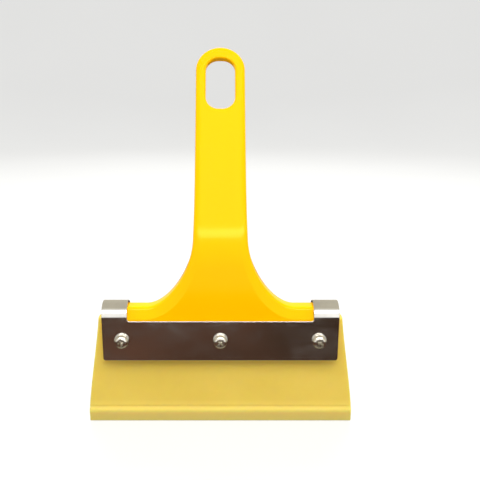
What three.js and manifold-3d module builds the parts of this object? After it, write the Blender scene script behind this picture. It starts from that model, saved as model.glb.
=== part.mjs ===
// Hand squeegee with a bent long handle, a folded steel blade clamp and a thick flexible blade.
// Millimetres, +Z up, the front faces -Y, and X = 0 is the plane of symmetry.
// Everything is drawn about the knee, the top of the bend in the handle: heights below it are negative.
// The origin is then moved to the top of the hanging hole, where a hook holds the tool.
import * as THREE from 'three';
import { mergeVertices } from 'three/addons/utils/BufferGeometryUtils.js';
import Module from 'manifold-3d';

const wasm = await Module();
wasm.setup();

// Handle, along its middle line: grip above the knee, head below it
const BEND_ANGLE = THREE.MathUtils.degToRad(26);
const BEND_RADIUS = 48;
const BEND_MIDDLE = -7;
const GRIP_TOP = 109.2;
const GRIP_END_RADIUS = 13.95;
const SHOULDER_Z = -39.4;
const HEAD_BOTTOM_Z = -68;
const HEAD_HALF_WIDTH = 63;
const HEAD_THICKNESS = 12.6;
const KNEE_THICKNESS = 8.4;
const GRIP_END_THICKNESS = 4.6;

// Edges at the grip's top, the knee and the shoulder: width of the sloping band, and how far it
// drops. The band is curved on the grip and flat on the head. A corner round ends it.
const EDGE_WIDTHS = [2.8, 4, 6.2];
const EDGE_DROPS = [0.7, 1.1, 2.1];
const EDGE_ROUNDS = [0.9, 1, 1.3];

// The handle's right side, as half width and height along the middle line
const GRIP_LOW = new THREE.Vector2(14.15, 20);
const FLARE_START = new THREE.Vector2(14.7, -3);
const SHOULDER_START = new THREE.Vector2(40.4, SHOULDER_Z);

// Hanging hole
const HOLE_TOP = 102.1;
const HOLE_LENGTH = 30.8;
const HOLE_WIDTH = 16.6;
const HOLE_CORNER = 7.2;

// Clamp, one folded steel sheet
const SHEET = 1.2;
const CLAMP_OUTER = HEAD_THICKNESS / 2 + SHEET;
const CLAMP_HALF_WIDTH = 64.2;
const CLAMP_TOP_Z = -37.1;
const CLAMP_BOTTOM_Z = -69.3;
const CLAMP_CORNER = 1.4;
const WINDOW_HALF_WIDTH = 50.4;
const WINDOW_SILL_Z = -46.4;
const WINDOW_CORNER = 1.3;

// Blade
const BLADE_THICKNESS = 6;
const BLADE_TOP_Z = -46.2;
const BLADE_RIDGE_Z = -103.4;
const BLADE_TIP_Z = -110.2;
const BLADE_TIP_THICKNESS = 1.2;
const BLADE_TOP_HALF_WIDTH = 66.8;
const BLADE_TIP_HALF_WIDTH = 75;
const SLOT_GAP = 0.3;

// M4 pan-head screws and hexagon nuts
const SCREW_SPACING = 53.7;
const SCREW_Z = -57.6;
const SCREW_HOLE_RADIUS = 2.25;
const SHANK_RADIUS = 1.95;
const SCREW_LENGTH = 20;
const SCREW_POINT = 0.8;
const HEAD_RADIUS = 4;
const HEAD_HEIGHT = 3.1;
const HEAD_RIM = 0.9;
const HEAD_FACE_RADIUS = 1.8;
const RECESS_SPAN = 4.4;
const RECESS_WIDTH = 1;
const RECESS_DEPTH = 1.8;
const NUT_ACROSS_FLATS = 7;
const NUT_HEIGHT = 3.2;
const NUT_CHAMFER = 0.35;
const NUT_BORE_RADIUS = 2.02;
const FASTENERS = [
  { side: 'left', x: -SCREW_SPACING, recessTurn: 10, nutTurn: 8 },
  { side: 'middle', x: 0, recessTurn: 45, nutTurn: -17 },
  { side: 'right', x: SCREW_SPACING, recessTurn: 54, nutTurn: 24 },
];

const BEND_LENGTH = BEND_RADIUS * BEND_ANGLE;
const BEND_START = BEND_MIDDLE - BEND_LENGTH / 2;
const THROUGH = 60;

// Where the handle's faces have points: depths into the edge band as fractions of its width,
// half widths beyond the flare, and depths below the shoulder
const EDGE_STEPS = [0, 0.05, 0.2, 0.6, 1];
const SHOULDER_STEPS = [46, 51, 57, HEAD_HALF_WIDTH];
const HEAD_STEPS = [0, 0.3, 1.3, 3.7, 6.2, 13, 21, SHOULDER_Z - HEAD_BOTTOM_Z];

// ---- solids ----

function toSolid(geometry) {
  const plain = geometry.clone();
  plain.deleteAttribute('normal');
  plain.deleteAttribute('uv');
  const merged = mergeVertices(plain, 1e-4);
  return new wasm.Manifold(new wasm.Mesh({
    numProp: 3,
    vertProperties: Float32Array.from(merged.attributes.position.array),
    triVerts: Uint32Array.from(merged.index.array),
  }));
}

function toGeometry(solid) {
  const { vertProperties, triVerts } = solid.getMesh();
  const geometry = new THREE.BufferGeometry();
  geometry.setAttribute('position', new THREE.BufferAttribute(vertProperties, 3));
  geometry.setIndex(new THREE.BufferAttribute(triVerts, 1));
  geometry.computeVertexNormals();
  return geometry;
}

function cut(geometry, cutters) {
  return toGeometry(cutters.reduce((solid, cutter) => solid.subtract(toSolid(cutter)), toSolid(geometry)));
}

// A plan outline drawn in X and Z, pulled through along Y
function throughY(shape, curveSegments = 8) {
  const geometry = new THREE.ExtrudeGeometry(shape, { depth: THROUGH, bevelEnabled: false, curveSegments });
  geometry.translate(0, 0, -THROUGH / 2);
  return geometry.rotateX(Math.PI / 2);
}

function screwHoles() {
  return FASTENERS.map(({ x }) => {
    const hole = new THREE.CylinderGeometry(SCREW_HOLE_RADIUS, SCREW_HOLE_RADIUS, THROUGH, 32);
    return hole.translate(x, 0, SCREW_Z);
  });
}

function roundedRectangle(halfWidth, low, high, radius) {
  const shape = new THREE.Shape();
  shape.moveTo(-halfWidth, high - radius);
  shape.lineTo(-halfWidth, low + radius);
  shape.absarc(-halfWidth + radius, low + radius, radius, Math.PI, 1.5 * Math.PI, false);
  shape.absarc(halfWidth - radius, low + radius, radius, 1.5 * Math.PI, 2 * Math.PI, false);
  shape.absarc(halfWidth - radius, high - radius, radius, 0, Math.PI / 2, false);
  shape.absarc(-halfWidth + radius, high - radius, radius, Math.PI / 2, Math.PI, false);
  return shape;
}

// ---- the handle's bent middle line ----

// Place a point x across, up along the middle line, and forward of the line
function onHandle(x, along, forward) {
  const turned = THREE.MathUtils.clamp(along - BEND_START, 0, BEND_LENGTH) / BEND_RADIUS;
  const sine = Math.sin(turned);
  const cosine = Math.cos(turned);
  const past = along - BEND_START - turned * BEND_RADIUS;
  const y = BEND_RADIUS * (1 - cosine) + past * sine - forward * cosine;
  const z = BEND_START + BEND_RADIUS * sine + past * cosine + forward * sine;
  return new THREE.Vector3(x, y, z);
}

// Right-hand outline from the top of the grip to the end of the shoulder, as (x, along)
function handleOutline() {
  const endCentre = GRIP_TOP - GRIP_END_RADIUS;
  const v = (x, y) => new THREE.Vector2(x, y);
  const gripHigh = v(GRIP_END_RADIUS, endCentre);
  const end = new THREE.EllipseCurve(0, endCentre, GRIP_END_RADIUS, GRIP_END_RADIUS, Math.PI / 2, 0, true);
  const grip = new THREE.CubicBezierCurve(gripHigh, v(GRIP_END_RADIUS, 70), v(13.95, 40), GRIP_LOW);
  const knee = new THREE.CubicBezierCurve(GRIP_LOW, v(14.25, 12), v(14.45, 3), FLARE_START);
  const flare = new THREE.CubicBezierCurve(FLARE_START, v(15.2, -19), v(28.8, SHOULDER_Z), SHOULDER_START);
  return [[end, 9], [grip, 10], [knee, 13], [flare, 16]].flatMap(([curve, steps], index) => {
    const points = curve.getPoints(steps);
    return index === 0 ? points : points.slice(1);
  });
}

function handleThickness(along) {
  if (along >= 0) {
    return THREE.MathUtils.lerp(KNEE_THICKNESS, GRIP_END_THICKNESS, along / GRIP_TOP);
  }
  const blend = THREE.MathUtils.smoothstep(along / SHOULDER_Z, 0, 1);
  return THREE.MathUtils.lerp(KNEE_THICKNESS, HEAD_THICKNESS, blend);
}

// A size that is given at the grip's top, the knee and the shoulder
function sizeAt([top, knee, shoulder], along) {
  if (along >= 0) {
    return THREE.MathUtils.lerp(knee, top, along / GRIP_TOP);
  }
  return THREE.MathUtils.lerp(knee, shoulder, THREE.MathUtils.clamp(along / SHOULDER_Z, 0, 1));
}

function distanceToEdge(x, along, edge) {
  const point = new THREE.Vector3(Math.abs(x), along, 0);
  const nearest = new THREE.Vector3();
  let distance = Infinity;
  for (let i = 1; i < edge.length; i += 1) {
    new THREE.Line3(edge[i - 1], edge[i]).closestPointToPoint(point, true, nearest);
    distance = Math.min(distance, nearest.distanceTo(point));
  }
  return distance;
}

// Half the handle's thickness at a plan point: full inside, and less on the band at the edge
function halfThickness(x, along, edge) {
  const distance = distanceToEdge(x, along, edge);
  const round = sizeAt(EDGE_ROUNDS, along);
  const out = Math.max(1 - distance / sizeAt(EDGE_WIDTHS, along), 0);
  const corner = Math.max(1 - distance / round, 0);
  const band = THREE.MathUtils.lerp(out ** 2, out, THREE.MathUtils.clamp(along / SHOULDER_Z, 0, 1));
  const fall = sizeAt(EDGE_DROPS, along) * band + round * (1 - Math.sqrt(1 - corner ** 2));
  return 0.5 * handleThickness(along) - fall;
}

// Fractions of the half width where the cross-lines have points, close together in the edge band
function crossFractions(halfWidth, along) {
  const depth = Math.min(sizeAt(EDGE_WIDTHS, along) / Math.max(halfWidth, 1), 0.6);
  const side = EDGE_STEPS.map((step) => 1 - depth * step).concat([(1 - depth) / 2]);
  return [...side.map((value) => -value), 0, ...side.reverse()];
}

function planRows(outline) {
  const narrow = outline.map(({ x, y }) => crossFractions(x, y).map((fraction) => [x * fraction, y]));
  const inner = narrow[narrow.length - 1].map(([x]) => x);
  const across = [...SHOULDER_STEPS.map((x) => -x).reverse(), ...inner, ...SHOULDER_STEPS];
  const wide = HEAD_STEPS.map((depth) => across.map((x) => [x, SHOULDER_Z - depth]));
  return [narrow, wide];
}

// A closed slab over rows of plan points: front sheet, back sheet, and walls where they don't meet
function slab(stripes, edge) {
  const positions = [];
  const keys = new Map();
  const vertex = ([x, along], face) => {
    const half = face * halfThickness(x, along, edge);
    const key = `${x.toFixed(4)} ${along.toFixed(4)} ${half.toFixed(4)}`;
    if (!keys.has(key)) {
      keys.set(key, positions.length / 3);
      positions.push(...onHandle(x, along, half));
    }
    return keys.get(key);
  };
  const index = [];
  const borders = new Map();
  const triangle = (a, b, c) => {
    if (a !== b && b !== c && c !== a) {
      index.push(a, b, c);
    }
  };
  for (const rows of stripes) {
    for (let i = 1; i < rows.length; i += 1) {
      for (let j = 1; j < rows[i].length; j += 1) {
        const corners = [rows[i][j - 1], rows[i][j], rows[i - 1][j], rows[i - 1][j - 1]];
        const [a, b, c, d] = corners.map((corner) => vertex(corner, 1));
        const [e, f, g, h] = corners.map((corner) => vertex(corner, -1));
        triangle(a, b, c);
        triangle(a, c, d);
        triangle(g, f, e);
        triangle(h, g, e);
        [[a, b, e, f], [b, c, f, g], [c, d, g, h], [d, a, h, e]].forEach(([from, to, fromBack, toBack]) => {
          if (!borders.delete(`${to} ${from}`)) {
            borders.set(`${from} ${to}`, [from, to, fromBack, toBack]);
          }
        });
      }
    }
  }
  for (const [from, to, fromBack, toBack] of borders.values()) {
    triangle(to, from, fromBack);
    triangle(to, fromBack, toBack);
  }
  const geometry = new THREE.BufferGeometry();
  geometry.setAttribute('position', new THREE.Float32BufferAttribute(positions, 3));
  geometry.setIndex(index);
  return geometry;
}

// ---- the pieces ----

function handle() {
  const outline = handleOutline();
  const edge = [...outline, new THREE.Vector2(HEAD_HALF_WIDTH + 20, SHOULDER_Z)];
  const body = slab(planRows(outline), edge.map(({ x, y }) => new THREE.Vector3(x, y, 0)));
  const hangHole = new THREE.ExtrudeGeometry(
    roundedRectangle(HOLE_WIDTH / 2, -HOLE_LENGTH, 0, HOLE_CORNER),
    { depth: THROUGH, bevelEnabled: false, curveSegments: 10 },
  );
  hangHole.translate(0, 0, -THROUGH / 2);
  hangHole.rotateX(Math.PI / 2 - BEND_ANGLE);
  hangHole.translate(...onHandle(0, HOLE_TOP, 0));
  const slotTop = BLADE_TOP_Z + SLOT_GAP;
  const slot = new THREE.BoxGeometry(4 * HEAD_HALF_WIDTH, BLADE_THICKNESS, THROUGH);
  slot.translate(0, 0, slotTop - THROUGH / 2);
  return cut(body, [hangHole, slot, ...screwHoles()]);
}

function clamp() {
  const bendZ = CLAMP_TOP_Z - CLAMP_OUTER;
  const inner = CLAMP_OUTER - SHEET;
  const section = new THREE.Shape();
  section.moveTo(CLAMP_OUTER, CLAMP_BOTTOM_Z);
  section.absarc(0, bendZ, CLAMP_OUTER, 0, Math.PI, false);
  section.lineTo(-CLAMP_OUTER, CLAMP_BOTTOM_Z);
  section.lineTo(-inner, CLAMP_BOTTOM_Z);
  section.absarc(0, bendZ, inner, Math.PI, 0, true);
  section.lineTo(inner, CLAMP_BOTTOM_Z);
  const fold = new THREE.ExtrudeGeometry(section, {
    depth: 2 * CLAMP_HALF_WIDTH,
    bevelEnabled: false,
    curveSegments: 20,
  });
  fold.translate(0, 0, -CLAMP_HALF_WIDTH);
  fold.applyMatrix4(new THREE.Matrix4().makeBasis(
    new THREE.Vector3(0, 1, 0),
    new THREE.Vector3(0, 0, 1),
    new THREE.Vector3(1, 0, 0),
  ));
  const high = CLAMP_TOP_Z + THROUGH;
  const plate = throughY(roundedRectangle(CLAMP_HALF_WIDTH, CLAMP_BOTTOM_Z, high, CLAMP_CORNER));
  const window = throughY(roundedRectangle(WINDOW_HALF_WIDTH, WINDOW_SILL_Z, high, WINDOW_CORNER));
  return cut(toGeometry(toSolid(fold).intersect(toSolid(plate))), [window, ...screwHoles()]);
}

function blade() {
  const side = new THREE.CubicBezierCurve(
    new THREE.Vector2(BLADE_TOP_HALF_WIDTH, BLADE_TOP_Z),
    new THREE.Vector2(68.6, -64),
    new THREE.Vector2(74.4, -92),
    new THREE.Vector2(BLADE_TIP_HALF_WIDTH, BLADE_TIP_Z),
  );
  const steps = 16;
  const levels = side.getPoints(steps);
  const ridge = levels.reduce((best, point, i) => (
    Math.abs(point.y - BLADE_RIDGE_Z) < Math.abs(levels[best].y - BLADE_RIDGE_Z) ? i : best
  ), 0);
  levels[ridge].y = BLADE_RIDGE_Z;
  const geometry = new THREE.BoxGeometry(1, 1, 1, 1, 1, steps);
  const position = geometry.attributes.position;
  for (let i = 0; i < position.count; i += 1) {
    const level = levels[Math.round((0.5 - position.getZ(i)) * steps)];
    const taper = THREE.MathUtils.clamp((BLADE_RIDGE_Z - level.y) / (BLADE_RIDGE_Z - BLADE_TIP_Z), 0, 1);
    const thickness = THREE.MathUtils.lerp(BLADE_THICKNESS, BLADE_TIP_THICKNESS, taper);
    position.setXYZ(i, 2 * position.getX(i) * level.x, position.getY(i) * thickness, level.y);
  }
  return cut(geometry, screwHoles());
}

// Pan-head screw along Y, its head's underside at y = 0 and its cross recess at the front
function screw(recessTurn) {
  const width = HEAD_RADIUS - HEAD_FACE_RADIUS;
  const height = HEAD_HEIGHT - HEAD_RIM;
  const crown = new THREE.EllipseCurve(HEAD_FACE_RADIUS, -HEAD_RIM, width, height, -Math.PI / 2, 0, false);
  const profile = [
    new THREE.Vector2(0, -HEAD_HEIGHT),
    ...crown.getPoints(8),
    new THREE.Vector2(HEAD_RADIUS, 0),
    new THREE.Vector2(SHANK_RADIUS, 0),
    new THREE.Vector2(SHANK_RADIUS, SCREW_LENGTH - SCREW_POINT),
    new THREE.Vector2(SHANK_RADIUS - 0.75 * SCREW_POINT, SCREW_LENGTH),
    new THREE.Vector2(0, SCREW_LENGTH),
  ];
  const turned = new THREE.LatheGeometry(profile, 32);
  const slots = [0, 90].map((angle) => {
    const slot = new THREE.BoxGeometry(RECESS_SPAN, 2 * RECESS_DEPTH, RECESS_WIDTH);
    slot.translate(0, -HEAD_HEIGHT, 0);
    return slot.rotateY(THREE.MathUtils.degToRad(angle + recessTurn));
  });
  return cut(turned, slots);
}

// Hexagon nut along Y from its seat at y = 0, with chamfered corners
function nut() {
  const flat = NUT_ACROSS_FLATS / 2;
  const corner = NUT_ACROSS_FLATS / Math.sqrt(3);
  const outside = corner + 0.02;
  const prism = new THREE.CylinderGeometry(corner, corner, NUT_HEIGHT, 6);
  prism.translate(0, NUT_HEIGHT / 2, 0);
  const barrel = new THREE.LatheGeometry([
    new THREE.Vector2(0, 0),
    new THREE.Vector2(flat, 0),
    new THREE.Vector2(outside, NUT_CHAMFER),
    new THREE.Vector2(outside, NUT_HEIGHT - NUT_CHAMFER),
    new THREE.Vector2(flat, NUT_HEIGHT),
    new THREE.Vector2(0, NUT_HEIGHT),
  ], 36);
  const bore = new THREE.CylinderGeometry(NUT_BORE_RADIUS, NUT_BORE_RADIUS, THROUGH, 32);
  return cut(toGeometry(toSolid(prism).intersect(toSolid(barrel))), [bore]);
}

// ---- materials and assembly ----

const plastic = new THREE.MeshStandardMaterial({ color: 0xffc800, roughness: 0.35, metalness: 0 });
const steel = new THREE.MeshStandardMaterial({ color: 0xb9b7b0, roughness: 0.22, metalness: 1 });
const urethane = new THREE.MeshStandardMaterial({ color: 0xe3c45c, roughness: 0.45, metalness: 0 });
const plated = new THREE.MeshStandardMaterial({ color: 0xd8d6cc, roughness: 0.25, metalness: 1 });

function piece(name, geometry, material) {
  const mesh = new THREE.Mesh(geometry, material);
  mesh.name = name;
  return mesh;
}

const squeegee = new THREE.Group();
squeegee.position.copy(onHandle(0, HOLE_TOP, 0)).negate();
squeegee.add(piece('handle', handle(), plastic));
squeegee.add(piece('clamp', clamp(), steel));
squeegee.add(piece('blade', blade(), urethane));
for (const { side, x, recessTurn, nutTurn } of FASTENERS) {
  const screwMesh = piece(`screw_${side}`, screw(recessTurn), plated);
  screwMesh.position.set(x, -CLAMP_OUTER, SCREW_Z);
  const nutMesh = piece(`nut_${side}`, nut(), plated);
  nutMesh.position.set(x, CLAMP_OUTER, SCREW_Z);
  nutMesh.rotation.y = THREE.MathUtils.degToRad(nutTurn);
  squeegee.add(screwMesh, nutMesh);
}

export default squeegee;
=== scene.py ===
import math

import bmesh
import bpy
from mathutils import Matrix, Vector
from mathutils.geometry import delaunay_2d_cdt
from mathutils.kdtree import KDTree


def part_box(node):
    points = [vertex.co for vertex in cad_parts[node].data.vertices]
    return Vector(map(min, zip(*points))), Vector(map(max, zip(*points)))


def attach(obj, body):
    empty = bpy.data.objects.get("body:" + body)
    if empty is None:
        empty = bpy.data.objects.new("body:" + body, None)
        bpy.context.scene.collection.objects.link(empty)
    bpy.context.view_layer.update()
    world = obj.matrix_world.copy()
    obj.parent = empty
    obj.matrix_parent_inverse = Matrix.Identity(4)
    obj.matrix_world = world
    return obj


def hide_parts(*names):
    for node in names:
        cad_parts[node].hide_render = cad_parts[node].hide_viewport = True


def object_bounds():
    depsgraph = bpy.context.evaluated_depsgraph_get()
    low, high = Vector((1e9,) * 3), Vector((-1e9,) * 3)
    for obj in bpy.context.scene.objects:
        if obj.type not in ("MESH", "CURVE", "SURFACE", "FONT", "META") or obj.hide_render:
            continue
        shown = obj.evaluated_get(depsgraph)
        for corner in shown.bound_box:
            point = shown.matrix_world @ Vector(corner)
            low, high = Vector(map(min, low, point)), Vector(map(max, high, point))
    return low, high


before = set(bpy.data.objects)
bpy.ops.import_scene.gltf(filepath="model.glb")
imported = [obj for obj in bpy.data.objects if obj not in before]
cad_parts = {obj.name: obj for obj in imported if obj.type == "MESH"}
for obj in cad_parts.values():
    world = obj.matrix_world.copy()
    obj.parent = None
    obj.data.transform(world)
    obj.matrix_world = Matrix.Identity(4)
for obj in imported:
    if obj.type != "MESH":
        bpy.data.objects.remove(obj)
cad_low, cad_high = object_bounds()

# ---- sizes, in millimetres, about the knee: the top of the bend in the handle ----

MM = 0.001

# Handle, along its middle line: grip above the knee, head below it
BEND_ANGLE = math.radians(26)
BEND_RADIUS = 48
BEND_MIDDLE = -7
BEND_LENGTH = BEND_ANGLE * BEND_RADIUS
BEND_START = BEND_MIDDLE - BEND_LENGTH / 2
GRIP_TOP = 109.2
GRIP_END_RADIUS = 13.95
SHOULDER = -39.4
HEAD_BOTTOM = -68
HEAD_HALF_WIDTH = 63
HEAD_THICKNESS = 12.6
KNEE_THICKNESS = 8.4
GRIP_END_THICKNESS = 4.6
END_ROUND = 0.6
GRIP_LOW = (14.15, 20)
FLARE_START = (14.7, -3)
SHOULDER_START = (40.4, SHOULDER)
STRAIGHT_SHOULDER = 45

# The handle's edges at the grip's top, the knee and the shoulder: width of the sloping band, and
# how far it drops. The band is curved on the grip and flat on the head. A corner round ends it.
EDGE_WIDTHS = (2.8, 4, 6.2)
EDGE_DROPS = (0.7, 1.1, 2.1)
EDGE_ROUNDS = (0.9, 1, 1.3)

# Hanging hole
HOLE_TOP = 102.1
HOLE_LENGTH = 30.8
HOLE_HALF_WIDTH = 8.3
HOLE_CORNER = 7.2
HOLE_ROUND = 1.3

# Clamp, one folded sheet
SHEET = 1.2
SHEET_ROUND = 0.28
CLAMP_HALF_WIDTH = 64.2
CLAMP_TOP = -37.1
CLAMP_BOTTOM = -69.3
CLAMP_CORNER = 1.4
CLAMP_FOLD = (HEAD_THICKNESS + SHEET) / 2
FOLD_CENTRE = CLAMP_TOP - CLAMP_FOLD - SHEET / 2
FOLD_LENGTH = math.pi / 2 * CLAMP_FOLD
WINDOW_HALF_WIDTH = 50.4
WINDOW_SILL = -46.4
WINDOW_CORNER = 1.3

# Blade
BLADE_HALF_THICKNESS = 3
BLADE_TOP = -46.2
BLADE_GROOVE = -99.4
BLADE_RIDGE = -103.4
BLADE_TIP = -110.2
BLADE_TIP_HALF_THICKNESS = 0.6
BLADE_TOP_HALF_WIDTH = 66.8
BLADE_TIP_HALF_WIDTH = 75
BLADE_EDGE_ROUND = 0.8
SLOT_GAP = 0.3

# M4 screws and nuts
SCREW_SPACING = 53.7
SCREW_LEVEL = -57.6
SCREW_HOLE_RADIUS = 2.25
THREAD_RADIUS = 1.95
THREAD_DEPTH = 0.37
THREAD_PITCH = 0.7
SCREW_LENGTH = 20
SCREW_HEAD_RADIUS = 4
SCREW_HEAD_HEIGHT = 3.1
SCREW_HEAD_RIM = 0.9
SCREW_FACE_RADIUS = 1.8
NUT_ACROSS_FLATS = 7
NUT_HEIGHT = 3.2
NUT_BORE_RADIUS = 2.02
FASTENERS = {"left": (-SCREW_SPACING, 10, 8), "middle": (0, 45, -17), "right": (SCREW_SPACING, 54, 24)}

# Where a rim has rings of points, as shares of its width: close together in its outer round
RIM_SHARES = (0, 0.01, 0.04, 0.09, 0.16, 0.25, 0.36, 0.5, 0.64, 0.77, 0.89, 1, 1.1)
SMOOTH_ANGLE = math.radians(35)
JOIN_ANGLE = math.radians(4)
JOIN_SHAPE = math.radians(50)

# Spacing of points: along outlines, and between levels on flat and on bent stretches
NET_SPACING = 1.6
HANDLE_BEND_SPACING = 0.9
FOLD_SPACING = 0.7
BEVEL_SPACING = 0.3

# Camera: how high and far it stands from its target, and its lens
CAMERA_ELEVATION = math.radians(14)
CAMERA_DISTANCE = 0.31
CAMERA_TARGET = (0, -5, 1.1)
CAMERA_LENS = 44.38
CAMERA_SHIFT = (0.0408, -0.0104)

# Area lights: azimuth, elevation, distance, size and watts
AREA_LIGHTS = {
    "key": (8, 56, 1.2, (0.9, 0.7), 15.5),
    "low_fill": (0, -40, 1.3, (1.0, 0.5), 3),
    "left_fill": (-75, 20, 1.3, (0.7, 0.7), 6),
    "right_fill": (75, 20, 1.3, (0.7, 0.7), 6),
    "back_fill": (180, 50, 1.3, (0.9, 0.7), 15),
}

clamp_low, clamp_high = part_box("clamp")
KNEE = Vector((0, (clamp_low.y + clamp_high.y) / 2, clamp_high.z - CLAMP_TOP * MM))


def at(x, y, z):
    """A point of the drawing, in the frame."""
    return KNEE + Vector((x, y, z)) * MM


def mix(a, b, share):
    return a + (b - a) * share


def clamped(value):
    return min(max(value, 0), 1)


def smooth(value):
    value = clamped(value)
    return value * value * (3 - 2 * value)


def quarter_round(depth):
    """Height of a quarter circle at a depth from its foot, both as fractions of its radius."""
    return math.sqrt(1 - (1 - clamped(depth)) ** 2)


# ---- outlines: lists of plan points, each without its starting point ----

def straight(start, end, spacing):
    start, end = Vector(start), Vector(end)
    steps = max(round((end - start).length / spacing), 1)
    return [start.lerp(end, i / steps) for i in range(1, steps + 1)]


def curve(start, leaving, arriving, end, steps):
    a, b, c, d = (Vector(point) for point in (start, leaving, arriving, end))
    shares = [i / steps for i in range(1, steps + 1)]
    return [a * (1 - t) ** 3 + b * 3 * t * (1 - t) ** 2 + c * 3 * t * t * (1 - t) + d * t ** 3
            for t in shares]


def arc(centre, radius, start, end, steps):
    angles = [math.radians(mix(start, end, i / steps)) for i in range(1, steps + 1)]
    return [Vector((centre[0] + radius * math.cos(a), centre[1] + radius * math.sin(a))) for a in angles]


def circle(centre, radius, steps=40):
    """A round hole, clockwise."""
    return arc(centre, radius, 360, 0, steps)


def rounded_rectangle(half_width, low, high, corner, spacing):
    """Anticlockwise from the bottom left."""
    inner, bottom, top = half_width - corner, low + corner, high - corner
    steps = 8
    points = straight((-inner, low), (inner, low), spacing)
    points += arc((inner, bottom), corner, -90, 0, steps)
    points += straight((half_width, bottom), (half_width, top), spacing)
    points += arc((inner, top), corner, 0, 90, steps)
    points += straight((inner, high), (-inner, high), spacing)
    points += arc((-inner, top), corner, 90, 180, steps)
    points += straight((-half_width, top), (-half_width, bottom), spacing)
    points += arc((-inner, bottom), corner, 180, 270, steps)
    return points


def both_sides(right):
    """A whole outline, anticlockwise, from its right side, which runs upwards from the middle."""
    left = [Vector((-point.x, point.y)) for point in reversed(right) if point.x > 1e-6]
    return right + left


# ---- plates: bodies with rounded rims, filled with an even net of faces ----

def insets(points, width):
    """How far each point moves inwards across the rim, from the two edges that meet there."""
    moves = []
    for i, point in enumerate(points):
        before = points[i - 1]
        after = points[(i + 1) % len(points)]
        first = (point - before).normalized()
        second = (after - point).normalized()
        normal_1 = Vector((-first.y, first.x))
        normal_2 = Vector((-second.y, second.x))
        width_1 = width((before + point) / 2)
        width_2 = width((point + after) / 2)
        spread = normal_1.cross(normal_2)
        if abs(spread) < 0.05:
            moves.append((normal_1 + normal_2).normalized() * (width_1 + width_2) / 2)
        else:
            moves.append(Vector((
                width_1 * normal_2.y - width_2 * normal_1.y,
                width_2 * normal_1.x - width_1 * normal_2.x,
            )) / spread)
    return moves


def crossings(borders, level):
    """Where a level line enters and leaves the borders, in order."""
    found = []
    for border in borders:
        for i, b in enumerate(border):
            a = border[i - 1]
            if (a.y > level) != (b.y > level):
                found.append(mix(a.x, b.x, (level - a.y) / (b.y - a.y)))
    return sorted(found)


def net(borders, levels, spacing):
    """Plan points and triangles that fill the borders. The borders' own points come first."""
    points = [point for border in borders for point in border]
    rim_count = len(points)
    tree = KDTree(rim_count)
    for i, point in enumerate(points):
        tree.insert(point.to_3d(), i)
    tree.balance()
    for level in levels:
        found = crossings(borders, level)
        for start, end in zip(found[::2], found[1::2]):
            count = max(round((end - start) / spacing), 1)
            for j in range(1, count):
                point = Vector((mix(start, end, j / count), level))
                if tree.find(point.to_3d())[2] > spacing / 2:
                    points.append(point)
    edges = []
    first = 0
    for border in borders:
        count = len(border)
        edges += [(first + i, first + (i + 1) % count) for i in range(count)]
        first += count
    found, _, faces, sources, _, _ = delaunay_2d_cdt(points, edges, [], 1, 1e-6)
    triangles = []
    for face in faces:
        corners = [sources[i][0] for i in face]
        middle = sum((points[i] for i in corners), Vector((0, 0))) / 3
        outside = sum(x < middle.x for x in crossings(borders, middle.y)) % 2 == 0
        if max(corners) >= rim_count or not outside:
            triangles.append(corners)
    return points, triangles


def plate(loops, levels, spacing, half, place):
    """A closed body with a front and a back that mirror each other.

    Each loop is (points, width, height): its plan points, with the material on their left, the
    rim's width at a point, and half the body's thickness at a point and a share of that width.
    """
    mesh = bmesh.new()

    def pair(plan, height):
        front = mesh.verts.new(place(plan.x, plan.y, height))
        if height < 1e-5:
            return front, front
        return front, mesh.verts.new(place(plan.x, plan.y, -height))

    def face(corners):
        distinct = [corner for i, corner in enumerate(corners) if corner != corners[i - 1]]
        if len(distinct) > 2:
            return mesh.faces.new(distinct)

    def both(corners):
        return [face([front for front, _ in corners]), face([back for _, back in reversed(corners)])]

    borders = []
    pairs = []
    for points, width, height in loops:
        moves = insets(points, width)
        plans = [[p + move * share for p, move in zip(points, moves)] for share in RIM_SHARES]
        rings = [[pair(plan, max(height(plan, share), 0)) for plan in ring]
                 for ring, share in zip(plans, RIM_SHARES)]
        for i in range(len(points)):
            a, b = rings[0][i - 1], rings[0][i]
            if a[0] != a[1] or b[0] != b[1]:
                face([b[0], a[0], a[1], b[1]])
            for k in range(len(rings) - 1):
                both([rings[k][i - 1], rings[k][i], rings[k + 1][i], rings[k + 1][i - 1]])
        borders.append(plans[-1])
        pairs += rings[-1]
    points, triangles = net(borders, levels, spacing)
    pairs += [pair(point, half(point)) for point in points[len(pairs):]]
    filled = [f for corners in triangles for f in both([pairs[i] for i in corners])]
    bmesh.ops.join_triangles(
        mesh, faces=filled, angle_face_threshold=JOIN_ANGLE, angle_shape_threshold=JOIN_SHAPE)
    return mesh


def levels_between(low, high, spacing):
    steps = max(round((high - low) / spacing), 1)
    return [mix(low, high, i / steps) for i in range(steps)]


# ---- objects ----

def make_object(name, mesh):
    data = bpy.data.meshes.new(name)
    mesh.to_mesh(data)
    mesh.free()
    piece = bpy.data.objects.new(name, data)
    bpy.context.collection.objects.link(piece)
    return piece


def settle(piece):
    """Turn a piece's modifiers into its mesh."""
    graph = bpy.context.evaluated_depsgraph_get()
    piece.data = bpy.data.meshes.new_from_object(piece.evaluated_get(graph))
    piece.modifiers.clear()


def carve(piece, cutter, operation="DIFFERENCE"):
    tool = piece.modifiers.new("carve", "BOOLEAN")
    tool.operation = operation
    tool.solver = "EXACT"
    tool.object = cutter
    settle(piece)
    bpy.data.objects.remove(cutter)


def shade(piece):
    data = piece.data
    data.shade_smooth()
    data.set_sharp_from_angle(angle=SMOOTH_ANGLE)


def present(piece, material, node, body):
    shade(piece)
    piece.data.materials.clear()
    piece.data.materials.append(material)
    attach(piece, body)
    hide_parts(node)


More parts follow.
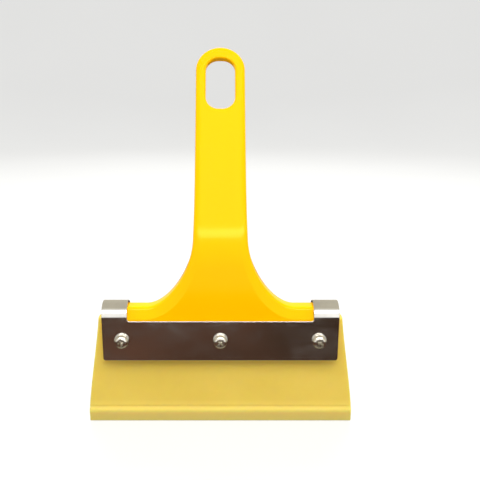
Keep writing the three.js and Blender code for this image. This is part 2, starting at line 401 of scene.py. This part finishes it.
def rounded(radius, half):
    """A rim of one radius, for a loop, where half gives half the thickness at a level."""
    return (lambda point: radius,
            lambda point, share: half(point.y) - radius * (1 - quarter_round(share)))


def screw_holes(rim):
    """The three screw holes of a plate, for its list of loops."""
    return [(circle((x, SCREW_LEVEL), SCREW_HOLE_RADIUS), *rim) for x, _, _ in FASTENERS.values()]


# ---- handle ----

def on_handle(x, along, forward):
    """A point across, up along the bent middle line, and forward of it."""
    turned = min(max(along - BEND_START, 0), BEND_LENGTH) / BEND_RADIUS
    past = along - BEND_START - turned * BEND_RADIUS
    sine, cosine = math.sin(turned), math.cos(turned)
    y = BEND_RADIUS * (1 - cosine) + past * sine - forward * cosine
    z = BEND_START + BEND_RADIUS * sine + past * cosine + forward * sine
    return at(x, y, z)


def handle_full(along):
    """Half the handle's thickness away from its edges."""
    if along >= 0:
        return mix(KNEE_THICKNESS, GRIP_END_THICKNESS, along / GRIP_TOP) / 2
    return mix(KNEE_THICKNESS, HEAD_THICKNESS, smooth(along / SHOULDER)) / 2


def size_at(sizes, along):
    """A size that is given at the grip's top, the knee and the shoulder."""
    top, knee, shoulder = sizes
    if along >= 0:
        return mix(knee, top, along / GRIP_TOP)
    return mix(knee, shoulder, clamped(along / SHOULDER))


def handle_rim(point):
    at_end = abs(point.x) > HEAD_HALF_WIDTH - 0.01 or point.y < HEAD_BOTTOM + 0.01
    return END_ROUND if at_end else size_at(EDGE_WIDTHS, point.y)


def handle_height(point, share):
    """Half the thickness: less on the band at the edge, and square at the head's ends and bottom."""
    width = size_at(EDGE_WIDTHS, point.y)
    distance = share * width
    if abs(point.x) > STRAIGHT_SHOULDER or point.y < SHOULDER - width:
        distance = SHOULDER - point.y
    out = clamped(1 - distance / width)
    band = mix(out ** 2, out, clamped(point.y / SHOULDER))
    corner = size_at(EDGE_ROUNDS, point.y)
    fall = size_at(EDGE_DROPS, point.y) * band + corner * (1 - quarter_round(distance / corner))
    end = END_ROUND * (1 - quarter_round((HEAD_HALF_WIDTH - abs(point.x)) / END_ROUND))
    bottom = END_ROUND * (1 - quarter_round((point.y - HEAD_BOTTOM) / END_ROUND))
    return handle_full(point.y) - fall - end - bottom


def handle_outline():
    centre = GRIP_TOP - GRIP_END_RADIUS
    corner = (HEAD_HALF_WIDTH, SHOULDER)
    bottom_corner = (HEAD_HALF_WIDTH, HEAD_BOTTOM)
    width = EDGE_WIDTHS[-1]
    right = straight((0, HEAD_BOTTOM), bottom_corner, 2.1)
    right += straight(bottom_corner, (HEAD_HALF_WIDTH, SHOULDER - width), 1.8)
    right += [Vector((HEAD_HALF_WIDTH, SHOULDER - width * share)) for share in reversed(RIM_SHARES[:-2])]
    right += straight(corner, SHOULDER_START, 1.8)
    right += curve(SHOULDER_START, (28.8, SHOULDER), (15.2, -19), FLARE_START, 48)
    right += curve(FLARE_START, (14.45, 3), (14.25, 12), GRIP_LOW, 20)
    right += curve(GRIP_LOW, (13.95, 40), (GRIP_END_RADIUS, 70), (GRIP_END_RADIUS, centre), 46)
    right += arc((0, centre), GRIP_END_RADIUS, 0, 90, 26)
    return both_sides(right)


def make_handle():
    hole = rounded_rectangle(HOLE_HALF_WIDTH, HOLE_TOP - HOLE_LENGTH, HOLE_TOP, HOLE_CORNER, 1.2)
    hole.reverse()
    loops = [(handle_outline(), handle_rim, handle_height), (hole, *rounded(HOLE_ROUND, handle_full))]
    loops += screw_holes(rounded(END_ROUND / 2, handle_full))
    bend_end = BEND_START + BEND_LENGTH
    levels = levels_between(HEAD_BOTTOM + 2, BEND_START, 1.7)
    levels += levels_between(BEND_START, bend_end, HANDLE_BEND_SPACING)
    levels += levels_between(bend_end, GRIP_TOP, NET_SPACING)
    mesh = plate(loops, levels, NET_SPACING, lambda p: handle_full(p.y), on_handle)
    handle = make_object("handle_body", mesh)
    slot = bmesh.new()
    top = BLADE_TOP + SLOT_GAP
    depth = 2 * (top - HEAD_BOTTOM)
    size = Matrix.Diagonal((4 * HEAD_HALF_WIDTH * MM, 2 * BLADE_HALF_THICKNESS * MM, depth * MM, 1))
    bmesh.ops.create_cube(slot, size=1, matrix=Matrix.Translation(at(0, 0, top - depth / 2)) @ size)
    carve(handle, make_object("slot", slot))
    return handle


# ---- clamp ----

def on_clamp(x, around, out):
    """A point across, around the folded sheet from the top of its fold, and out of its middle."""
    radius = CLAMP_FOLD + out
    angle = min(max(around, -FOLD_LENGTH), FOLD_LENGTH) / CLAMP_FOLD
    past = max(abs(around) - FOLD_LENGTH, 0)
    return at(x, radius * math.sin(angle), FOLD_CENTRE + radius * math.cos(angle) - past)


def make_clamp():
    rim = rounded(SHEET_ROUND, lambda level: SHEET / 2)
    reach = FOLD_LENGTH + FOLD_CENTRE - CLAMP_BOTTOM
    sill = FOLD_LENGTH + FOLD_CENTRE - WINDOW_SILL
    window = rounded_rectangle(WINDOW_HALF_WIDTH, -sill, sill, WINDOW_CORNER, 0.9)
    window.reverse()
    outline = rounded_rectangle(CLAMP_HALF_WIDTH, -reach, reach, CLAMP_CORNER, 0.9)
    loops = [(outline, *rim), (window, *rim)]
    hole_level = FOLD_LENGTH + FOLD_CENTRE - SCREW_LEVEL
    loops += [(circle((x, side * hole_level), SCREW_HOLE_RADIUS), *rim)
              for x, _, _ in FASTENERS.values() for side in (-1, 1)]
    levels = levels_between(-reach + 1.2, -FOLD_LENGTH, NET_SPACING)
    levels += levels_between(-FOLD_LENGTH, FOLD_LENGTH, FOLD_SPACING)
    levels += levels_between(FOLD_LENGTH, reach, NET_SPACING)
    mesh = plate(loops, levels, NET_SPACING, lambda p: SHEET / 2, on_clamp)
    return make_object("clamp_sheet", mesh)


# ---- blade ----

def blade_half(level):
    """Half the blade's thickness: a slight swell, a groove, a soft ridge, and the bevel to a blunt tip."""
    swell = 0.1 * smooth((BLADE_GROOVE + 4.6 - level) / 3.6)
    groove = 0.2 * smooth((BLADE_GROOVE + 0.7 - level) / 0.9)
    ridge = 0.42 * smooth((BLADE_GROOVE - 0.2 - level) / 2.6)
    face = BLADE_HALF_THICKNESS + swell - groove + ridge
    slope = (BLADE_HALF_THICKNESS + 0.4 - BLADE_TIP_HALF_THICKNESS) / (BLADE_RIDGE + 0.9 - BLADE_TIP)
    bevel = BLADE_TIP_HALF_THICKNESS + slope * (level - BLADE_TIP)
    softness = 0.22
    gap = (bevel - face) / softness
    return face - softness * math.log1p(math.exp(-gap)) if gap > -30 else bevel


def blade_rim(point):
    return min(BLADE_EDGE_ROUND, 0.45 * blade_half(point.y))


def make_blade():
    right = straight((0, BLADE_TIP), (BLADE_TIP_HALF_WIDTH, BLADE_TIP), 1.6)
    right += curve((BLADE_TIP_HALF_WIDTH, BLADE_TIP), (74.4, -92), (68.6, -64),
                   (BLADE_TOP_HALF_WIDTH, BLADE_TOP), 64)
    right += straight((BLADE_TOP_HALF_WIDTH, BLADE_TOP), (0, BLADE_TOP), 2.2)
    rim = (blade_rim, lambda p, share: blade_half(p.y) - blade_rim(p) * (1 - quarter_round(share)))
    loops = [(both_sides(right), *rim)] + screw_holes(rim)
    levels = levels_between(BLADE_TIP + 0.6, BLADE_GROOVE + 1.6, BEVEL_SPACING)
    levels += levels_between(BLADE_GROOVE + 1.6, BLADE_TOP - 1, 2)
    mesh = plate(loops, levels, NET_SPACING, lambda p: blade_half(p.y), lambda x, z, out: at(x, -out, z))
    return make_object("blade_strip", mesh)


# ---- screws and nuts ----

def turned(profile, centre, segments=64):
    """A body turned about a line along Y. The profile is (radius, y), and both its ends are on the line."""
    mesh = bmesh.new()
    rings = []
    for radius, y in profile:
        radii = [radius] * segments if isinstance(radius, (int, float)) else radius
        if max(radii) < 1e-6:
            rings.append([mesh.verts.new(centre + Vector((0, y, 0)) * MM)] * segments)
            continue
        angles = [2 * math.pi * i / segments for i in range(segments)]
        rings.append([mesh.verts.new(centre + Vector((r * math.cos(a), y, r * math.sin(a))) * MM)
                      for r, a in zip(radii, angles)])
    for lower, upper in zip(rings, rings[1:]):
        for i in range(segments):
            corners = [lower[i - 1], lower[i], upper[i], upper[i - 1]]
            distinct = [corner for j, corner in enumerate(corners) if corner != corners[j - 1]]
            mesh.faces.new(distinct)
    bmesh.ops.recalc_face_normals(mesh, faces=mesh.faces)
    return mesh


def thread_radii(y, segments):
    """Radius round the shank at a distance y below the head, following one right-hand groove."""
    start = smooth((y - 0.8) / 1.2)
    point = 0.9 * clamped((y - SCREW_LENGTH + 1) / 1)
    radii = []
    for i in range(segments):
        phase = (y / THREAD_PITCH + i / segments) % 1
        groove = clamped(abs(phase - 0.5) * -3 + 1.3)
        radii.append(THREAD_RADIUS - max(THREAD_DEPTH * groove * start, point))
    return radii


def cross_cutter(centre, turn):
    """A cross recess's tool: four wings that narrow with depth."""
    mesh = bmesh.new()
    top = -SCREW_HEAD_HEIGHT
    stations = [(top - 0.4, 2.5, 0.58), (top + 0.4, 2.05, 0.5), (top + 1.4, 1.25, 0.41), (top + 2, 0.5, 0.35)]
    loops = []
    for y, reach, half in stations:
        corners = []
        for quarter in range(4):
            angle = math.radians(90 * quarter + turn)
            for across, side in ((reach, -half), (reach, half), (half, half)):
                x = across * math.cos(angle) - side * math.sin(angle)
                z = across * math.sin(angle) + side * math.cos(angle)
                corners.append(mesh.verts.new(centre + Vector((x, y, z)) * MM))
        loops.append(corners)
    for lower, upper in zip(loops, loops[1:]):
        for i in range(len(lower)):
            mesh.faces.new([lower[i - 1], lower[i], upper[i], upper[i - 1]])
    mesh.faces.new(loops[0])
    mesh.faces.new(loops[-1])
    bmesh.ops.recalc_face_normals(mesh, faces=mesh.faces)
    return make_object("recess", mesh)


def make_screw(side, x, turn):
    centre = at(x, -CLAMP_FOLD - SHEET / 2, SCREW_LEVEL)
    segments = 64
    width = SCREW_HEAD_RADIUS - SCREW_FACE_RADIUS
    height = SCREW_HEAD_HEIGHT - SCREW_HEAD_RIM
    head = [(0, -SCREW_HEAD_HEIGHT)]
    head += [(SCREW_FACE_RADIUS + width * math.sin(math.radians(a)),
              -SCREW_HEAD_RIM - height * math.cos(math.radians(a))) for a in range(0, 91, 9)]
    head += [(SCREW_HEAD_RADIUS, -0.25), (SCREW_HEAD_RADIUS - 0.08, -0.08), (SCREW_HEAD_RADIUS - 0.25, 0)]
    shank = [(THREAD_RADIUS, 0.01)]
    shank += [(thread_radii(y, segments), y) for y in levels_between(0.4, SCREW_LENGTH, 0.1)]
    shank.append((thread_radii(SCREW_LENGTH, segments), SCREW_LENGTH))
    screw = make_object(f"screw_{side}_part", turned(head + shank + [(0, SCREW_LENGTH)], centre, segments))
    carve(screw, cross_cutter(centre, turn))
    return screw


def make_nut(side, x, turn):
    centre = at(x, CLAMP_FOLD + SHEET / 2, SCREW_LEVEL)
    corner = NUT_ACROSS_FLATS / math.sqrt(3)
    flat = NUT_ACROSS_FLATS / 2
    chamfer = 0.36
    barrel = [(0, 0), (flat - 0.1, 0), (corner + 0.05, chamfer), (corner + 0.05, NUT_HEIGHT - chamfer),
              (flat - 0.1, NUT_HEIGHT), (0, NUT_HEIGHT)]
    nut = make_object(f"nut_{side}_part", turned(barrel, centre, 96))
    prism = turned([(0, -1), (corner, -1), (corner, NUT_HEIGHT + 1), (0, NUT_HEIGHT + 1)], Vector(), 6)
    place = Matrix.Translation(centre) @ Matrix.Rotation(math.radians(turn), 4, "Y")
    bmesh.ops.transform(prism, matrix=place, verts=prism.verts)
    carve(nut, make_object("prism", prism), "INTERSECT")
    sink = 0.45
    bore = [(0, -1), (NUT_BORE_RADIUS + sink + 1, -1), (NUT_BORE_RADIUS, sink),
            (NUT_BORE_RADIUS, NUT_HEIGHT - sink), (NUT_BORE_RADIUS + sink + 1, NUT_HEIGHT + 1),
            (0, NUT_HEIGHT + 1)]
    carve(nut, make_object("bore", turned(bore, centre, 64)))
    return nut


# ---- materials ----

class Shader:
    """A material's nodes. Its textures are placed in metres, in the frame's own axes."""

    def __init__(self, name):
        self.material = bpy.data.materials.new(name)
        self.material.use_nodes = True
        self.nodes = self.material.node_tree.nodes
        self.links = self.material.node_tree.links
        self.surface = self.nodes["Principled BSDF"]
        self.place = self.nodes.new("ShaderNodeTexCoord").outputs["Object"]

    def set(self, **values):
        for name, value in values.items():
            self.surface.inputs[name.replace("_", " ")].default_value = value

    def use(self, name, output):
        self.links.new(output, self.surface.inputs[name])

    def height(self):
        """The Z of the place that is shaded."""
        node = self.nodes.new("ShaderNodeSeparateXYZ")
        self.links.new(self.place, node.inputs[0])
        return node.outputs["Z"]

    def noise(self, per_metre, detail=3.0, roughness=0.5):
        """Noise with the given number of features per metre along X, Y and Z."""
        mapping = self.nodes.new("ShaderNodeMapping")
        mapping.inputs["Scale"].default_value = per_metre
        self.links.new(self.place, mapping.inputs["Vector"])
        node = self.nodes.new("ShaderNodeTexNoise")
        node.inputs["Scale"].default_value = 1
        node.inputs["Detail"].default_value = detail
        node.inputs["Roughness"].default_value = roughness
        self.links.new(mapping.outputs["Vector"], node.inputs["Vector"])
        return node.outputs["Fac"]

    def spread(self, value, low, high, bottom, top):
        """Move a value's range from low..high to bottom..top, and hold it there."""
        node = self.nodes.new("ShaderNodeMapRange")
        node.clamp = True
        node.inputs["From Min"].default_value = low
        node.inputs["From Max"].default_value = high
        node.inputs["To Min"].default_value = bottom
        node.inputs["To Max"].default_value = top
        self.links.new(value, node.inputs["Value"])
        return node.outputs["Result"]

    def math(self, operation, a, b):
        node = self.nodes.new("ShaderNodeMath")
        node.operation = operation
        for socket, value in zip(node.inputs, (a, b)):
            if isinstance(value, (int, float)):
                socket.default_value = value
            else:
                self.links.new(value, socket)
        return node.outputs["Value"]

    def blend(self, share, first, second):
        node = self.nodes.new("ShaderNodeMix")
        node.data_type = "RGBA"
        self.links.new(share, node.inputs["Factor"])
        for name, value in (("A", first), ("B", second)):
            socket = next(s for s in node.inputs if s.name == name and s.type == "RGBA")
            if isinstance(value, tuple):
                socket.default_value = (*value, 1)
            else:
                self.links.new(value, socket)
        return next(s for s in node.outputs if s.type == "RGBA")

    def bump(self, height, distance, strength, under=None):
        node = self.nodes.new("ShaderNodeBump")
        node.inputs["Strength"].default_value = strength
        node.inputs["Distance"].default_value = distance
        self.links.new(height, node.inputs["Height"])
        if under is not None:
            self.links.new(under, node.inputs["Normal"])
        return node.outputs["Normal"]


def yellow_plastic():
    """Moulded plastic: faint flow marks, a fine skin and a few dull rubs."""
    m = Shader("yellow_plastic")
    m.set(Specular_IOR_Level=0.25, Specular_Tint=(1, 0.85, 0.25, 1), IOR=1.5)
    flow = m.spread(m.noise((18, 18, 9), 3), 0.3, 0.7, 0, 1)
    m.use("Base Color", m.blend(flow, (1.0, 0.49, 0.0), (1.0, 0.525, 0.0)))
    rub = m.spread(m.noise((160, 160, 45), 5, 0.65), 0.52, 0.74, 0, 1)
    skin = m.spread(m.noise((420, 420, 420), 2), 0.3, 0.7, 0.12, 0.15)
    m.use("Roughness", m.math("ADD", skin, m.math("MULTIPLY", rub, 0.08)))
    waves = m.bump(m.noise((60, 60, 60), 2), 0.0004, 0.12)
    m.use("Normal", m.bump(m.noise((700, 700, 700), 2), 0.00004, 0.1, waves))
    return m.material


def polished_steel():
    """Sheet steel with a fine rolled grain along its length, slight waves and finger smudges."""
    m = Shader("polished_steel")
    m.set(Metallic=1.0)
    smudge = m.spread(m.noise((45, 45, 60), 4, 0.6), 0.42, 0.68, 0, 1)
    m.use("Base Color", m.blend(smudge, (0.66, 0.64, 0.61), (0.56, 0.54, 0.51)))
    grain = m.noise((90, 5200, 5200), 2)
    rough = m.spread(grain, 0.3, 0.7, 0.08, 0.15)
    m.use("Roughness", m.math("ADD", rough, m.math("MULTIPLY", smudge, 0.1)))
    waves = m.bump(m.noise((30, 30, 40), 1), 0.001, 0.16)
    m.use("Normal", m.bump(grain, 0.00001, 0.25, waves))
    return m.material


def amber_urethane():
    """Cast urethane: light goes some way into it, and its skin is a fine satin. Its colour also holds painted
    light: it is painted paler down to the ridge, a painted glow through the thin edge, and paler still on the
    bevel.
    """
    m = Shader("amber_urethane")
    m.set(Specular_IOR_Level=0.4, Subsurface_Weight=0.75, Subsurface_Scale=0.006)
    m.set(Subsurface_Radius=(0.9, 0.78, 0.35))
    cloud = m.spread(m.noise((26, 26, 26), 4, 0.6), 0.3, 0.7, 0, 1)
    level = m.height()
    face = m.blend(cloud, (0.76, 0.565, 0.09), (0.81, 0.615, 0.11))
    # Painted light: the colour turns paler from above the groove down to the ridge, a painted glow standing
    # in for light through the thin edge, and paler still on the bevel below the ridge, painted light on that
    # face.
    painted_glow_share = m.spread(level, at(0, 0, BLADE_GROOVE + 4).z, at(0, 0, BLADE_RIDGE).z, 0, 1)
    painted_bevel_light_share = m.spread(level, at(0, 0, BLADE_RIDGE + 0.3).z, at(0, 0, BLADE_RIDGE - 0.3).z, 0, 1)
    painted_glow_colour = m.blend(painted_glow_share, face, (0.95, 0.75, 0.17))
    m.use("Base Color", m.blend(painted_bevel_light_share, painted_glow_colour, (1.0, 0.71, 0.18)))
    m.use("Roughness", m.spread(m.noise((240, 240, 500), 4, 0.6), 0.3, 0.7, 0.36, 0.5))
    waves = m.bump(m.noise((90, 90, 90), 2), 0.0004, 0.15)
    m.use("Normal", m.bump(m.noise((1500, 1500, 1500), 3), 0.00006, 0.25, waves))
    return m.material


def bright_nickel():
    """Plated fasteners: bright, with a little wear and tooling grain."""
    m = Shader("bright_nickel")
    m.set(Metallic=1.0)
    wear = m.spread(m.noise((500, 500, 500), 4, 0.6), 0.4, 0.7, 0, 1)
    m.use("Base Color", m.blend(wear, (0.70, 0.67, 0.60), (0.50, 0.47, 0.41)))
    m.use("Roughness", m.spread(wear, 0, 1, 0.16, 0.3))
    m.use("Normal", m.bump(m.noise((1300, 1300, 1300), 2), 0.00003, 0.3))
    return m.material


# ---- camera, light and floor ----

def make_camera():
    """A little above square-on to the head, and close, as a product is photographed by hand."""
    back = Vector((0, -math.cos(CAMERA_ELEVATION), math.sin(CAMERA_ELEVATION)))
    data = bpy.data.cameras.new("camera")
    camera = bpy.data.objects.new("camera", data)
    bpy.context.collection.objects.link(camera)
    camera.location = at(*CAMERA_TARGET) + back * CAMERA_DISTANCE
    camera.rotation_euler = back.to_track_quat("Z", "Y").to_euler()
    data.lens = CAMERA_LENS
    data.sensor_width = 36
    data.shift_x, data.shift_y = CAMERA_SHIFT
    data.clip_start = 0.01
    data.clip_end = 50
    bpy.context.scene.camera = camera


def toward(azimuth, elevation, distance):
    """A place round the object: azimuth 0 is in front of it, and 90 to its right."""
    a, e = math.radians(azimuth), math.radians(elevation)
    middle = (cad_low + cad_high) / 2
    return middle + Vector((math.sin(a) * math.cos(e), -math.cos(a) * math.cos(e), math.sin(e))) * distance


def area_light(name, azimuth, elevation, distance, size, watts):
    """A soft light that shades the object but isn't seen in its surfaces."""
    data = bpy.data.lights.new(name, "AREA")
    data.shape = "RECTANGLE"
    data.size, data.size_y = size
    data.energy = watts
    light = bpy.data.objects.new(name, data)
    bpy.context.collection.objects.link(light)
    light.location = toward(azimuth, elevation, distance)
    middle = (cad_low + cad_high) / 2
    light.rotation_euler = (light.location - middle).to_track_quat("Z", "Y").to_euler()
    light.visible_glossy = False


def softbox(name, azimuths, elevations, brightness, distance=1.3):
    """A bright panel that is only seen in the object's surfaces."""
    mesh = bmesh.new()
    steps = 12
    rows = []
    for i in range(steps + 1):
        azimuth = mix(*azimuths, i / steps)
        rows.append([mesh.verts.new(toward(azimuth, mix(*elevations, j / steps), distance))
                     for j in range(steps + 1)])
    for first, second in zip(rows, rows[1:]):
        for j in range(steps):
            mesh.faces.new([first[j], first[j + 1], second[j + 1], second[j]])
    panel = make_object(name, mesh)
    m = bpy.data.materials.new(name)
    m.use_nodes = True
    m.node_tree.nodes.clear()
    glow = m.node_tree.nodes.new("ShaderNodeEmission")
    glow.inputs["Strength"].default_value = brightness
    output = m.node_tree.nodes.new("ShaderNodeOutputMaterial")
    m.node_tree.links.new(glow.outputs[0], output.inputs["Surface"])
    panel.data.materials.append(m)
    panel.visible_camera = False
    panel.visible_diffuse = False
    panel.visible_shadow = False
    panel.visible_transmission = False
    panel.visible_volume_scatter = False


def make_floor():
    """A pale sheet that curves up to a wall all round, far outside the views."""
    radius, fillet, top = 2.4, 0.9, 2.2
    profile = [(0, 0), (radius - fillet, 0)]
    profile += [(radius - fillet + fillet * math.sin(a), fillet * (1 - math.cos(a)))
                for a in (math.radians(d) for d in range(6, 96, 6))]
    profile += [(radius, top)]
    segments = 72
    mesh = bmesh.new()
    rings = []
    for r, z in profile:
        rings.append([mesh.verts.new((r * math.sin(2 * math.pi * i / segments),
                                      r * math.cos(2 * math.pi * i / segments), cad_low.z - 0.0005 + z))
                      for i in range(segments if r else 1)] * (1 if r else segments))
    for lower, upper in zip(rings, rings[1:]):
        for i in range(segments):
            corners = [lower[i], lower[i - 1], upper[i - 1], upper[i]]
            distinct = [c for j, c in enumerate(corners) if c != corners[j - 1]]
            mesh.faces.new(distinct)
    floor = make_object("floor", mesh)
    floor.data.shade_smooth()
    m = Shader("pale_sheet")
    m.set(Specular_IOR_Level=0.1, Roughness=0.9, Emission_Color=(1, 1, 0.99, 1), Emission_Strength=0.62)
    m.use("Base Color", m.blend(m.noise((3, 3, 3), 2), (0.27, 0.27, 0.26), (0.31, 0.31, 0.30)))
    floor.data.materials.append(m.material)
    floor.visible_glossy = False
    floor.visible_diffuse = False
    floor.visible_shadow = False


def bands(tree, height, stops):
    """Colours by height: a list of (position, colour)."""
    ramp = tree.nodes.new("ShaderNodeValToRGB")
    tree.links.new(height, ramp.inputs["Fac"])
    elements = ramp.color_ramp.elements
    while len(elements) < len(stops):
        elements.new(1)
    for element, (position, color) in zip(elements, stops):
        element.position = position
        element.color = (*color, 1)
    return ramp.outputs["Color"]


def mixed(tree, kind, share, first, second):
    node = tree.nodes.new("ShaderNodeMix")
    node.data_type = "RGBA"
    node.blend_type = kind
    if isinstance(share, (int, float)):
        node.inputs["Factor"].default_value = share
    else:
        tree.links.new(share, node.inputs["Factor"])
    for socket, output in zip((s for s in node.inputs if s.type == "RGBA"), (first, second)):
        tree.links.new(output, socket)
    return next(s for s in node.outputs if s.type == "RGBA")


def make_world():
    """Surroundings: dim for lighting. Reflections show a pale wall in front, a duller room round it,
    brown clutter lower down and a pale table at the bottom.
    """
    world = bpy.data.worlds.new("studio")
    bpy.context.scene.world = world
    world.use_nodes = True
    tree = world.node_tree
    nodes, links = tree.nodes, tree.links
    background = nodes["Background"]
    background.inputs["Color"].default_value = (1, 1, 1, 1)
    background.inputs["Strength"].default_value = 0.28
    reflected = nodes.new("ShaderNodeBackground")
    where = nodes.new("ShaderNodeTexCoord").outputs["Generated"]
    split = nodes.new("ShaderNodeSeparateXYZ")
    links.new(where, split.inputs[0])
    height = nodes.new("ShaderNodeMapRange")
    height.inputs["From Min"].default_value = -1
    links.new(split.outputs["Z"], height.inputs["Value"])
    table = (0.35, 0.33, 0.27)
    wall = ((0.08, table), (0.12, (0, 0, 0)), (0.38, (0, 0, 0)), (0.40, (1.5, 1.5, 1.47)))
    room = wall[:3] + ((0.40, (0.72, 0.68, 0.55)),)
    colors = [bands(tree, height.outputs["Result"], stops) for stops in (wall, room)]
    front = nodes.new("ShaderNodeMapRange")
    front.inputs["From Min"].default_value = -0.75
    front.inputs["From Max"].default_value = -0.45
    links.new(split.outputs["Y"], front.inputs["Value"])
    around = mixed(tree, "MIX", front.outputs["Result"], *colors)
    clutter = nodes.new("ShaderNodeTexNoise")
    clutter.inputs["Scale"].default_value = 5
    clutter.inputs["Detail"].default_value = 4
    links.new(where, clutter.inputs["Vector"])
    tone = nodes.new("ShaderNodeValToRGB")
    links.new(clutter.outputs["Fac"], tone.inputs["Fac"])
    tone.color_ramp.elements[0].position = 0.35
    tone.color_ramp.elements[0].color = (0.045, 0.028, 0.017, 1)
    tone.color_ramp.elements[1].position = 0.65
    tone.color_ramp.elements[1].color = (0.18, 0.084, 0.054, 1)
    links.new(mixed(tree, "LIGHTEN", 1, around, tone.outputs["Color"]), reflected.inputs["Color"])
    choose = nodes.new("ShaderNodeMixShader")
    path = nodes.new("ShaderNodeLightPath")
    links.new(path.outputs["Is Glossy Ray"], choose.inputs[0])
    links.new(background.outputs[0], choose.inputs[1])
    links.new(reflected.outputs[0], choose.inputs[2])
    links.new(choose.outputs[0], nodes["World Output"].inputs["Surface"])


# ---- the object ----

make_camera()
plastic, steel, urethane, nickel = yellow_plastic(), polished_steel(), amber_urethane(), bright_nickel()
present(make_handle(), plastic, "handle", "root")
present(make_clamp(), steel, "clamp", "root")
present(make_blade(), urethane, "blade", "root")
for side, (x, recess_turn, nut_turn) in FASTENERS.items():
    present(make_screw(side, x, recess_turn), nickel, f"screw_{side}", f"screw_{side}")
    present(make_nut(side, x, nut_turn), nickel, f"nut_{side}", f"nut_{side}")

for name, setting in AREA_LIGHTS.items():
    area_light(name, *setting)
softbox("front_softbox", (-30, 42), (25, 36), 12)
make_floor()
make_world()
bpy.context.scene.view_settings.view_transform = "Standard"
